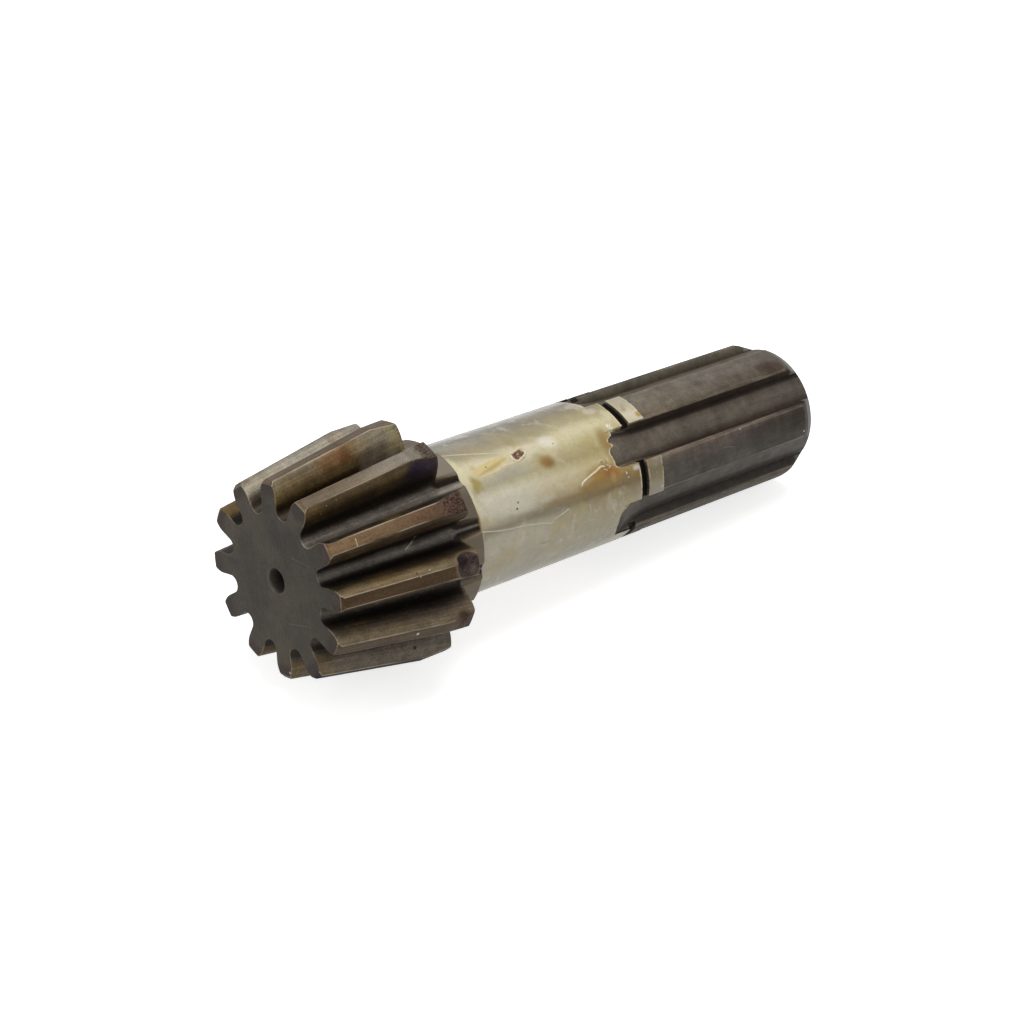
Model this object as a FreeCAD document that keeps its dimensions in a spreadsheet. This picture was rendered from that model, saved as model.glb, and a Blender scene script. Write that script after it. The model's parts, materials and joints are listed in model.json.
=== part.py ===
import FreeCAD, Part
import math
import os
import Sketcher

# Straight bevel pinion cut in one piece with its splined shaft, in millimetres.
# The shaft runs along X from the toe face of the teeth to the spline end, and is laid down at the end.

doc = FreeCAD.newDocument("pinion_shaft")
sheet = doc.addObject("Spreadsheet::Sheet", "sizes")

# Driving dimensions: stations are measured along the shaft from the toe face.
driving = {
    "toothCount": 12,
    "coneDistance": 133,          # from the toe face forward to the point where all tooth lines meet
    "toeTipDiameter": 44.6,
    "toothDepth": 7.4,            # from tip to root on the toe face
    "widestDepth": 3.3,           # from the tips down to where the teeth are widest, on the toe face
    "spaceWidth": 5.0,            # across a tooth space there
    "flankRadius": 4.8,           # bulge of the tooth flanks at the toe
    "gulletRadius": 1.95,         # round bottom of the tooth spaces at the toe
    "toeBevel": 0.7,
    "toothLength": 34,
    "outsideLandLength": 6.56,    # of the turned land that cuts off the tooth tips at the heel
    "heelLean": 14,               # degrees that the back of the teeth leans off square
    "collarDiameter": 41.2,
    "collarEnd": 41.4,
    "collarBevel": 0.4,
    "journalDiameter": 34.93,
    "journalEnd": 100.4,
    "splineDiameter": 34.7,
    "splineRootDiameter": 29.7,
    "splineCount": 6,
    "landWidth": 8.7,
    "landEdgeBreak": 0.55,
    "splineIndex": 12.5,          # degrees from the resting tooth space to the nearest spline land
    "fullDepthStation": 101.8,     # the spline spaces are at full depth from here on
    "cutterRadius": 36,           # of the cutter that leaves the runouts
    "ringGrooveStation": 93.1,
    "ringGrooveWidth": 2.3,
    "ringGrooveDiameter": 32.9,
    "overallLength": 155.3,
    "endChamferLength": 4.9,
    "endChamferDepth": 2.5,
    "toeCentreMouth": 6.0,
    "toeCentreBore": 5.3,
    "toeCentreDepth": 14,
    "endCentreMouth": 8.5,
    "endCentreBore": 4,
    "endCentreDepth": 9,
    "cutMargin": 3,               # how far cutting sections reach past the metal
}
for row, (name, number) in enumerate(driving.items(), start=1):
    sheet.set(f"A{row}", name)
    sheet.set(f"B{row}", str(number))
    sheet.setAlias(f"B{row}", name)
doc.recompute()


class Size:
    # A number for drawing with, and the spreadsheet formula that keeps it.
    def __init__(self, number, formula):
        self.number = number
        self.formula = formula

    def __add__(self, other):
        other = as_size(other)
        return Size(self.number + other.number, f"({self.formula} + {other.formula})")

    def __sub__(self, other):
        other = as_size(other)
        return Size(self.number - other.number, f"({self.formula} - {other.formula})")

    def __mul__(self, other):
        other = as_size(other)
        return Size(self.number * other.number, f"({self.formula} * {other.formula})")

    def __truediv__(self, other):
        other = as_size(other)
        return Size(self.number / other.number, f"({self.formula} / {other.formula})")


def as_size(value):
    return value if isinstance(value, Size) else Size(value, str(value))


def size(name):
    return Size(float(sheet.get(name)), f"sizes.{name}")


def sine(degrees):
    return Size(math.sin(math.radians(degrees.number)), f"sin(1 deg * {degrees.formula})")


def cosine(degrees):
    return Size(math.cos(math.radians(degrees.number)), f"cos(1 deg * {degrees.formula})")


def tangent(degrees):
    return Size(math.tan(math.radians(degrees.number)), f"tan(1 deg * {degrees.formula})")


def root(square):
    return Size(math.sqrt(square.number), f"sqrt({square.formula})")


def larger(first, second):
    return Size(max(first.number, second.number), f"max({first.formula}; {second.formula})")


def origin_feature(body, role):
    return next(item for item in body.Origin.OriginFeatures if item.Role == role)


def new_sketch(body, name, plane, station=None, turn=None):
    # A station lifts the sketch off its plane, and a turn swings it about the plane's normal.
    sketch = body.newObject("Sketcher::SketchObject", name)
    sketch.AttachmentSupport = [(origin_feature(body, plane), "")]
    sketch.MapMode = "FlatFace"
    if station is not None:
        normal = FreeCAD.Vector(0, 0, 1)
        turn = turn or Size(0, "0")
        sketch.AttachmentOffset = FreeCAD.Placement(
            normal * station.number, FreeCAD.Rotation(normal, turn.number))
        sketch.setExpression("AttachmentOffset.Base.z", station.formula)
        sketch.setExpression("AttachmentOffset.Rotation.Angle", f"1 deg * {turn.formula}")
    return sketch


def hold_point(sketch, geometry, end, along, across):
    # Ties one point of the sketch to its place, measured from the sketch origin.
    for kind, value in (("DistanceX", along), ("DistanceY", across)):
        value = as_size(value)
        index = sketch.addConstraint(
            Sketcher.Constraint(kind, -1, 1, geometry, end, value.number))
        sketch.setExpression(f"Constraints[{index}]", value.formula)


def draw_outline(sketch, corners):
    # A closed outline of straight lines through the corners, each corner held by its sizes.
    points = [FreeCAD.Vector(as_size(x).number, as_size(y).number, 0) for x, y in corners]
    for start, finish in zip(points, points[1:] + points[:1]):
        sketch.addGeometry(Part.LineSegment(start, finish), False)
    for line in range(len(points)):
        sketch.addConstraint(Sketcher.Constraint(
            "Coincident", line, 2, (line + 1) % len(points), 1))
    for line, (x, y) in enumerate(corners):
        hold_point(sketch, line, 1, x, y)
    return sketch


def turned(body, kind, name, sketch):
    feature = body.newObject(kind, name)
    feature.Profile = sketch
    feature.ReferenceAxis = (sketch, ["H_Axis"])
    feature.Angle = 360
    doc.recompute()
    return feature


def repeated(body, name, features, count):
    pattern = body.newObject("PartDesign::PolarPattern", name)
    pattern.Originals = features
    pattern.Axis = (origin_feature(body, "X_Axis"), [""])
    pattern.Angle = 360
    pattern.Occurrences = int(count.number)
    pattern.setExpression("Occurrences", count.formula)
    body.Tip = pattern
    doc.recompute()
    return pattern


# Where the face cone reaches the outside land
def land_start():
    return size("toothLength") - size("outsideLandLength")


# How much larger the tooth form is at a station than on the toe face
def growth(station):
    return (size("coneDistance") + station) / size("coneDistance")


# The turned blank: face cone, outside land, leaning heel, collar, ground journal and spline end
def turned_blank(body):
    tip = size("toeTipDiameter") / 2
    outside = tip * growth(land_start())
    collar = size("collarDiameter") / 2
    heel_foot = size("toothLength") + (outside - collar) * tangent(size("heelLean"))
    journal = size("journalDiameter") / 2
    spline = size("splineDiameter") / 2
    corners = [
        (0, 0),
        (0, tip - size("toeBevel")),
        (size("toeBevel"), tip * growth(size("toeBevel"))),
        (land_start(), outside),
        (size("toothLength"), outside),
        (heel_foot, collar),
        (size("collarEnd") - size("collarBevel"), collar),
        (size("collarEnd"), collar - size("collarBevel")),
        (size("collarEnd"), journal),
        (size("journalEnd"), journal),
        (size("journalEnd"), spline),
        (size("overallLength") - size("endChamferLength"), spline),
        (size("overallLength"), spline - size("endChamferDepth")),
        (size("overallLength"), 0),
    ]
    sketch = draw_outline(new_sketch(body, "blankOutline", "XY_Plane"), corners)
    return turned(body, "PartDesign::Revolution", "blank", sketch)


# The narrow groove for a retaining ring, turned across the spline lands
def ring_groove(body):
    start = size("ringGrooveStation")
    finish = start + size("ringGrooveWidth")
    floor = size("ringGrooveDiameter") / 2
    clear = size("journalDiameter") / 2 + size("cutMargin")
    corners = [(start, floor), (finish, floor), (finish, clear), (start, clear)]
    sketch = draw_outline(new_sketch(body, "ringGrooveOutline", "XY_Plane"), corners)
    return turned(body, "PartDesign::Groove", "ringGroove", sketch)


# A centre hole: a 60 degree mouth, a drilled bore and the drill's point
def centre_hole(body, name, face, inward, mouth, bore, depth):
    def station(distance):
        return face + distance * inward
    mouth_depth = (mouth - bore) / 2 / math.tan(math.radians(30))
    point = bore / 2 / math.tan(math.radians(59))
    corners = [
        (station(as_size(0)), 0),
        (station(as_size(0)), mouth / 2),
        (station(mouth_depth), bore / 2),
        (station(depth), bore / 2),
        (station(depth + point), 0),
    ]
    sketch = draw_outline(new_sketch(body, name + "Outline", "XY_Plane"), corners)
    return turned(body, "PartDesign::Groove", name, sketch)


# One section across a tooth space. Every length of it grows with the distance from the cone point,
# so the spaces taper as a straight bevel gear's do.
def tooth_space_section(body, name, station):
    grow = growth(station)
    half_pitch = Size(180, "180") / size("toothCount")
    lean_x = sine(half_pitch)
    lean_y = cosine(half_pitch)
    gullet_radius = size("gulletRadius") * grow
    gullet_centre = (size("toeTipDiameter") / 2 - size("toothDepth") + size("gulletRadius")) * grow
    flank_radius = size("flankRadius") * grow
    widest = (size("toeTipDiameter") / 2 - size("widestDepth")) * grow
    tip = size("toeTipDiameter") / 2 * grow
    half_tooth = (widest * lean_x - size("spaceWidth") / 2 * grow) / lean_y
    # The flank arc is centred inside the tooth, and ends at the tip circle's height along the tooth.
    inset = half_tooth - flank_radius
    centre_x = widest * lean_x - inset * lean_y
    centre_y = widest * lean_y + inset * lean_x
    climb = tip - widest
    reach = inset + root(flank_radius * flank_radius - climb * climb)
    tip_x = tip * lean_x - reach * lean_y
    tip_y = tip * lean_y + reach * lean_x
    top_y = tip_y + size("cutMargin") * grow
    slope = climb / root(flank_radius * flank_radius - climb * climb)
    # Past the tip the cut opens out along the tangent of the flank.
    run_x = (slope * lean_y + lean_x) / (lean_y - slope * lean_x)
    top_x = tip_x + size("cutMargin") * grow * run_x

    sketch = new_sketch(body, name, "YZ_Plane", station)
    up = FreeCAD.Vector(0, 0, 1)
    gullet_c = FreeCAD.Vector(0, gullet_centre.number, 0)
    flank_c = FreeCAD.Vector(centre_x.number, centre_y.number, 0)
    # The wall is the tangent that crosses between the gullet's circle and the flank's.
    gap = flank_c - gullet_c
    swing = math.acos((gullet_radius.number + flank_radius.number) / gap.Length)
    heading = math.atan2(gap.y, gap.x) - swing
    foot = gullet_c + FreeCAD.Vector(math.cos(heading), math.sin(heading), 0) * gullet_radius.number
    head = flank_c - FreeCAD.Vector(math.cos(heading), math.sin(heading), 0) * flank_radius.number
    tip_p = FreeCAD.Vector(tip_x.number, tip_y.number, 0)
    top_p = FreeCAD.Vector(top_x.number, top_y.number, 0)

    def mirrored(point):
        return FreeCAD.Vector(-point.x, point.y, 0)

    def bearing(centre, point):
        return math.atan2(point.y - centre.y, point.x - centre.x)

    turn = 2 * math.pi
    gullet_circle = Part.Circle(gullet_c, up, gullet_radius.number)
    left_gullet = sketch.addGeometry(Part.ArcOfCircle(
        gullet_circle, math.pi - heading, turn * 3 / 4), False)
    right_gullet = sketch.addGeometry(Part.ArcOfCircle(
        gullet_circle, turn * 3 / 4, turn + heading), False)
    right_wall = sketch.addGeometry(Part.LineSegment(foot, head), False)
    right_flank = sketch.addGeometry(Part.ArcOfCircle(
        Part.Circle(flank_c, up, flank_radius.number),
        bearing(flank_c, tip_p) % turn, bearing(flank_c, head) % turn), False)
    right_mouth = sketch.addGeometry(Part.LineSegment(tip_p, top_p), False)
    lid = sketch.addGeometry(Part.LineSegment(top_p, mirrored(top_p)), False)
    left_mouth = sketch.addGeometry(Part.LineSegment(mirrored(top_p), mirrored(tip_p)), False)
    left_c = mirrored(flank_c)
    left_flank = sketch.addGeometry(Part.ArcOfCircle(
        Part.Circle(left_c, up, flank_radius.number),
        bearing(left_c, mirrored(head)), bearing(left_c, mirrored(tip_p))), False)
    left_wall = sketch.addGeometry(Part.LineSegment(mirrored(head), mirrored(foot)), False)

    for first, first_end, second, second_end in (
            (right_gullet, 2, right_wall, 1),
            (right_wall, 2, right_flank, 2),
            (left_flank, 1, left_wall, 1),
            (left_wall, 2, left_gullet, 1)):
        sketch.addConstraint(Sketcher.Constraint("Tangent", first, first_end, second, second_end))
    for first, first_end, second, second_end in (
            (left_gullet, 3, right_gullet, 3),
            (left_gullet, 2, right_gullet, 1),
            (right_flank, 1, right_mouth, 1),
            (right_mouth, 2, lid, 1),
            (lid, 2, left_mouth, 1),
            (left_mouth, 2, left_flank, 2)):
        sketch.addConstraint(Sketcher.Constraint("Coincident", first, first_end, second, second_end))
    sketch.addConstraint(Sketcher.Constraint("PointOnObject", left_gullet, 2, -2))
    hold_point(sketch, left_gullet, 3, 0, gullet_centre)
    hold_point(sketch, right_flank, 3, centre_x, centre_y)
    hold_point(sketch, right_mouth, 2, top_x, top_y)
    for arc, radius in ((left_gullet, gullet_radius), (right_flank, flank_radius)):
        index = sketch.addConstraint(Sketcher.Constraint("Radius", arc, radius.number))
        sketch.setExpression(f"Constraints[{index}]", radius.formula)
    index = sketch.addConstraint(Sketcher.Constraint("DistanceY", -1, 1, right_mouth, 1, tip_y.number))
    sketch.setExpression(f"Constraints[{index}]", tip_y.formula)
    sketch.addConstraint(Sketcher.Constraint("Symmetric", left_flank, 3, right_flank, 3, -2))
    sketch.addConstraint(Sketcher.Constraint("Symmetric", left_mouth, 1, right_mouth, 2, -2))
    sketch.addConstraint(Sketcher.Constraint("Symmetric", left_mouth, 2, right_mouth, 1, -2))
    return sketch


def teeth(body):
    # The middle sections lie on the straight lines between the end ones and part the faces where
    # the blank changes, which keeps the faces simple.
    stations = {
        "toothSpaceFront": Size(0, "0") - size("cutMargin"),
        "toothSpaceBevel": size("toeBevel"),
        "toothSpaceLand": land_start(),
        "toothSpaceHeel": size("toothLength"),
        "toothSpaceBack": size("collarEnd") + size("cutMargin"),
    }
    sections = [tooth_space_section(body, name, station) for name, station in stations.items()]
    doc.recompute()
    space = body.newObject("PartDesign::SubtractiveLoft", "toothSpace")
    space.Profile = sections[0]
    space.Sections = sections[1:]
    space.Ruled = True
    doc.recompute()
    return repeated(body, "teeth", [space], size("toothCount"))


# One space between two spline lands: its walls run parallel to the middle planes of the lands
def spline_space_section(body, name, station):
    half_pitch = Size(180, "180") / size("splineCount")
    lean_x = sine(half_pitch)
    lean_y = cosine(half_pitch)
    half_land = size("landWidth") / 2
    floor = size("splineRootDiameter") / 2
    edge = size("splineDiameter") / 2 - size("landEdgeBreak")
    clear = larger(size("journalDiameter"), size("splineDiameter")) / 2 + size("cutMargin")
    spread = clear - edge

    def on_land(height, offset):
        return height * lean_x - offset * lean_y, height * lean_y + offset * lean_x

    foot_height = root(floor * floor - half_land * half_land)
    edge_height = root(edge * edge - half_land * half_land)
    foot_x, foot_y = on_land(foot_height, half_land)
    edge_x, edge_y = on_land(edge_height, half_land)
    top_x, top_y = on_land(edge_height + spread, half_land - spread)

    sketch = new_sketch(body, name, "YZ_Plane", station, half_pitch + size("splineIndex"))
    foot = FreeCAD.Vector(foot_x.number, foot_y.number, 0)
    rim = FreeCAD.Vector(edge_x.number, edge_y.number, 0)
    top = FreeCAD.Vector(top_x.number, top_y.number, 0)
    roof = FreeCAD.Vector(0, clear.number, 0)

    def mirrored(point):
        return FreeCAD.Vector(-point.x, point.y, 0)

    angle = math.atan2(foot.y, foot.x)
    ground = sketch.addGeometry(Part.ArcOfCircle(
        Part.Circle(FreeCAD.Vector(), FreeCAD.Vector(0, 0, 1), floor.number),
        angle, math.pi - angle), False)
    chain = [mirrored(foot), mirrored(rim), mirrored(top), roof, top, rim, foot]
    lines = [sketch.addGeometry(Part.LineSegment(a, b), False) for a, b in zip(chain, chain[1:])]
    for first, second in zip(lines, lines[1:]):
        sketch.addConstraint(Sketcher.Constraint("Coincident", first, 2, second, 1))
    sketch.addConstraint(Sketcher.Constraint("Coincident", ground, 2, lines[0], 1))
    sketch.addConstraint(Sketcher.Constraint("Coincident", lines[-1], 2, ground, 1))
    sketch.addConstraint(Sketcher.Constraint("Coincident", ground, 3, -1, 1))
    hold_point(sketch, lines[-1], 2, foot_x, foot_y)
    hold_point(sketch, lines[-1], 1, edge_x, edge_y)
    hold_point(sketch, lines[-2], 1, top_x, top_y)
    hold_point(sketch, lines[2], 2, 0, clear)
    for line, partner in ((lines[1], lines[-1]), (lines[2], lines[-2])):
        sketch.addConstraint(Sketcher.Constraint("Symmetric", line, 1, partner, 1, -2))
    sketch.addConstraint(Sketcher.Constraint("Horizontal", lines[0], 1, lines[-1], 2))
    return sketch


# The lands are left standing by straight spaces, each ending in the curve of the cutter's edge
def spline(body):
    full_depth = size("fullDepthStation")
    end_section = spline_space_section(body, "splineSpaceEnd", size("overallLength"))
    doc.recompute()
    straight = body.newObject("PartDesign::Pocket", "splineSpace")
    straight.Profile = end_section
    straight.Length = driving["overallLength"] - driving["fullDepthStation"]
    straight.setExpression("Length", (size("overallLength") - full_depth).formula)
    doc.recompute()
    run_section = spline_space_section(body, "splineSpaceRunout", full_depth)
    axle_height = size("splineRootDiameter") / 2 + size("cutterRadius")
    axle_reach = size("cutterRadius")
    axle = run_section.addGeometry(Part.LineSegment(
        FreeCAD.Vector(0, axle_height.number, 0),
        FreeCAD.Vector(axle_reach.number, axle_height.number, 0)), True)
    hold_point(run_section, axle, 1, 0, axle_height)
    hold_point(run_section, axle, 2, axle_reach, axle_height)
    doc.recompute()
    runout = body.newObject("PartDesign::Groove", "splineRunout")
    runout.Profile = run_section
    runout.ReferenceAxis = (run_section, ["Axis0"])
    runout.Angle = 60
    runout.Reversed = False
    doc.recompute()
    return repeated(body, "splines", [straight, runout], size("splineCount"))


def pinion_shaft():
    body = doc.addObject("PartDesign::Body", "pinion_shaft")
    body.Label = "pinion_shaft"
    turned_blank(body)
    ring_groove(body)
    centre_hole(body, "toeCentre", Size(0, "0"), 1, size("toeCentreMouth"),
                size("toeCentreBore"), size("toeCentreDepth"))
    centre_hole(body, "endCentre", size("overallLength"), -1, size("endCentreMouth"),
                size("endCentreBore"), size("endCentreDepth"))
    teeth(body)
    spline(body)
    return body


# Height of the lowest metal on the shaft where it is cut square across at one station
def lowest_at(shape, station):
    section = Part.Compound(shape.slice(FreeCAD.Vector(1, 0, 0), station))
    return section.optimalBoundingBox(True, False).ZMin


# The shaft lies on two neighbouring teeth and the last full-size stretch of the spline.
def lay_down(body):
    hair = 0.01
    front = driving["toothLength"] - hair
    back = driving["overallLength"] - driving["endChamferLength"] - hair
    drop = lowest_at(body.Shape, back) - lowest_at(body.Shape, front)
    lean = math.degrees(math.atan2(drop, back - front))
    body.Placement = FreeCAD.Placement(
        FreeCAD.Vector(), FreeCAD.Rotation(FreeCAD.Vector(0, 1, 0), lean))
    doc.recompute()
    box = body.Shape.optimalBoundingBox(True, False)
    body.Placement.Base = FreeCAD.Vector(-box.Center.x, -box.Center.y, -box.ZMin)
    doc.recompute()
    return lean


shaft = pinion_shaft()
faults = [item.Name for item in doc.Objects if "Invalid" in item.State or "Error" in item.State]
if faults or not shaft.Shape.isValid() or len(shaft.Shape.Solids) != 1:
    raise RuntimeError(f"not a sound solid: {faults}")
lean = lay_down(shaft)
toe_centre = shaft.Placement.Base
print(f"{shaft.Label}: {shaft.Shape.Volume / 1000:.1f} cubic centimetres, leaning {lean:.6f} degrees")
print(f"toe face centre at {toe_centre.x:.6f}, {toe_centre.y:.6f}, {toe_centre.z:.6f}")

os.makedirs("parts", exist_ok=True)
shaft.Shape.exportStep(f"parts/{shaft.Label}.step")
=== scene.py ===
import bpy
import json
import math
import numpy as np
from mathutils import Matrix, Vector, geometry, noise


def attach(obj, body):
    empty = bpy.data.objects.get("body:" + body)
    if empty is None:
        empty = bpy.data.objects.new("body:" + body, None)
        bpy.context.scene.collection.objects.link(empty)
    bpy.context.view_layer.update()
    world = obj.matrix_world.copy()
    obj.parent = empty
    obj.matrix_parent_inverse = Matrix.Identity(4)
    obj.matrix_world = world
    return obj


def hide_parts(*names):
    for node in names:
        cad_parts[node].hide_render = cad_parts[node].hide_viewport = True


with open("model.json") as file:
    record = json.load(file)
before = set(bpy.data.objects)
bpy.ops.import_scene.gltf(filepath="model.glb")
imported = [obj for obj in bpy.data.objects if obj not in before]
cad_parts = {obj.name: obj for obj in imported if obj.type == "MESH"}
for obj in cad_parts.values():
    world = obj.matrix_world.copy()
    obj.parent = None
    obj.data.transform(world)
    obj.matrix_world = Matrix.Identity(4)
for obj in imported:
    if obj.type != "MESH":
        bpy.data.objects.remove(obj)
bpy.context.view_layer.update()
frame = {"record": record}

# The shaft's own axes, read from its journal mount. Sizes below are in millimetres on the shaft: a station
# along the axis from the toe face, a radius, and a turn in degrees from +Y towards the shaft's upper side.
mounts = {mount["name"]: mount for mount in frame["record"]["mounts"]}
journalMiddle = 67.25
journalRadius = 17.5
degreeLength = math.radians(journalRadius)      # millimetres round the journal in one degree
ahead = Vector(mounts["journal"]["axis"]).normalized()
sideways = Vector((0, 1, 0))
upward = ahead.cross(sideways)
toeCentre = Vector(mounts["journal"]["pos_m"]) - ahead * journalMiddle * 0.001
rowAxes = np.array([ahead[:], sideways[:], upward[:]])
print("frame read, toe face centre at", [round(value, 5) for value in toeCentre])


def inRow(points):
    return np.array(toeCentre) + np.asarray(points) @ rowAxes * 0.001


def polar(station, radius, turn):
    turn = np.radians(turn)
    return np.stack(np.broadcast_arrays(station, radius * np.cos(turn), radius * np.sin(turn)), axis=-1)


def link(name, data):
    made = bpy.data.objects.new(name, data)
    bpy.context.scene.collection.objects.link(made)
    return made


# Mesh making: rings of points joined into one closed skin

sliver = 1e-9      # a face with less area is left out


class Skin:
    def __init__(self):
        self.points = []
        self.faces = []
        self.finishes = []
        self.marks = {}
        self.rims = set()

    def ring(self, points, **marks):
        start = len(self.points)
        made = list(range(start, start + len(points)))
        self.points.extend(map(tuple, points))
        for name, values in marks.items():
            self.marks.setdefault(name, {}).update(zip(made, np.broadcast_to(values, len(points))))
        return made

    def face(self, corners, finish=0):
        self.faces.append(tuple(corners))
        self.finishes.append(finish)

    def bridge(self, near, far, finish=0, closed=True):
        follow = [*range(1, len(near)), 0]
        for here, there in enumerate(follow if closed else follow[:-1]):
            self.face((near[here], near[there], far[there], far[here]), finish)

    def tube(self, rings, finish=0, closed=True):
        for near, far in zip(rings, rings[1:]):
            self.bridge(near, far, finish, closed)

    def cap(self, ring, finish=0, backward=False):
        middle = len(self.points)
        self.points.append(tuple(np.mean([self.points[index] for index in ring], axis=0)))
        for here, there in zip(ring, ring[1:] + ring[:1]):
            self.face((there, here, middle) if backward else (here, there, middle), finish)

    def plate(self, outer, inner, finish=0, backward=False):
        # a flat face between an outline and the round hole in it
        flat = [[Vector((*self.points[index][1:], 0)) for index in loop] for loop in (outer, inner)]
        names = outer + inner
        for loop in (outer, inner):
            self.rims.update(frozenset(pair) for pair in zip(loop, loop[1:] + loop[:1]))
        for corners in geometry.tessellate_polygon(flat):
            a, b, c = (names[corner] for corner in corners)
            pa, pb, pc = (np.array(self.points[index])[1:] for index in (a, b, c))
            area = np.cross(pb - pa, pc - pa)
            if abs(area) >= sliver:
                self.face((a, b, c) if (area > 0) != backward else (a, c, b), finish)

    def piece(self, name, finishes, sharp):
        mesh = bpy.data.meshes.new(name)
        mesh.from_pydata(inRow(self.points).tolist(), [], self.faces)
        for finish in finishes:
            mesh.materials.append(finish.material)
        mesh.polygons.foreach_set("material_index", self.finishes)
        for mark, values in self.marks.items():
            layer = mesh.attributes.new(mark, "FLOAT", "POINT")
            layer.data.foreach_set("value", [float(values.get(index, 0))
                                             for index in range(len(self.points))])
        mesh.shade_smooth()
        mesh.set_sharp_from_angle(angle=math.radians(sharp))
        for edge in mesh.edges:
            if frozenset(edge.vertices) in self.rims:
                edge.use_edge_sharp = True
        made = link(name, mesh)
        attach(made, "root")
        print(name, "has", len(self.faces), "faces")
        return made


# Shader making

class Wire:
    # a node's output that takes part in Python sums
    def __init__(self, nodes, socket):
        self.nodes = nodes
        self.socket = socket

    def maths(self, operation, other=0.0, swapped=False):
        pair = (other, self) if swapped else (self, other)
        return self.nodes.node("ShaderNodeMath", {"operation": operation}, dict(enumerate(pair)))

    def __add__(self, other):
        return self.maths("ADD", other)

    def __sub__(self, other):
        return self.maths("SUBTRACT", other)

    def __rsub__(self, other):
        return self.maths("SUBTRACT", other, swapped=True)

    def __mul__(self, other):
        return self.maths("MULTIPLY", other)

    def __truediv__(self, other):
        return self.maths("DIVIDE", other)

    def __rtruediv__(self, other):
        return self.maths("DIVIDE", other, swapped=True)

    def __abs__(self):
        return self.maths("ABSOLUTE")

    __radd__ = __add__
    __rmul__ = __mul__


def paint(red, green, blue):
    # a colour as it shows on screen, 0 to 255, as the shader wants it
    return tuple(((value / 255 + 0.055) / 1.055) ** 2.4 if value > 10 else value / 255 / 12.92
                 for value in (red, green, blue)) + (1.0,)


class Nodes:
    def __init__(self, tree):
        self.tree = tree

    def node(self, kind, settings=None, values=None, out=0):
        made = self.tree.nodes.new(kind)
        for name, value in (settings or {}).items():
            if name == "stops":
                stops = made.color_ramp.elements
                while len(stops) < len(value):
                    stops.new(0.5)
                for stop, (position, shade) in zip(stops, value):
                    stop.position = position
                    stop.color = paint(*shade)
            else:
                setattr(made, name, value)
        self.feed(made, values or {})
        return Wire(self, made.outputs[out])

    def feed(self, made, values):
        for name, value in values.items():
            if isinstance(value, Wire):
                self.tree.links.new(value.socket, made.inputs[name])
            else:
                made.inputs[name].default_value = value

    def rays(self, first, *others):
        # 1 for a ray of one of these kinds
        met = self.node("ShaderNodeLightPath", out=f"Is {first} Ray")
        for kind in others:
            met = met.maths("MAXIMUM", self.node("ShaderNodeLightPath", out=f"Is {kind} Ray"))
        return met


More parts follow.
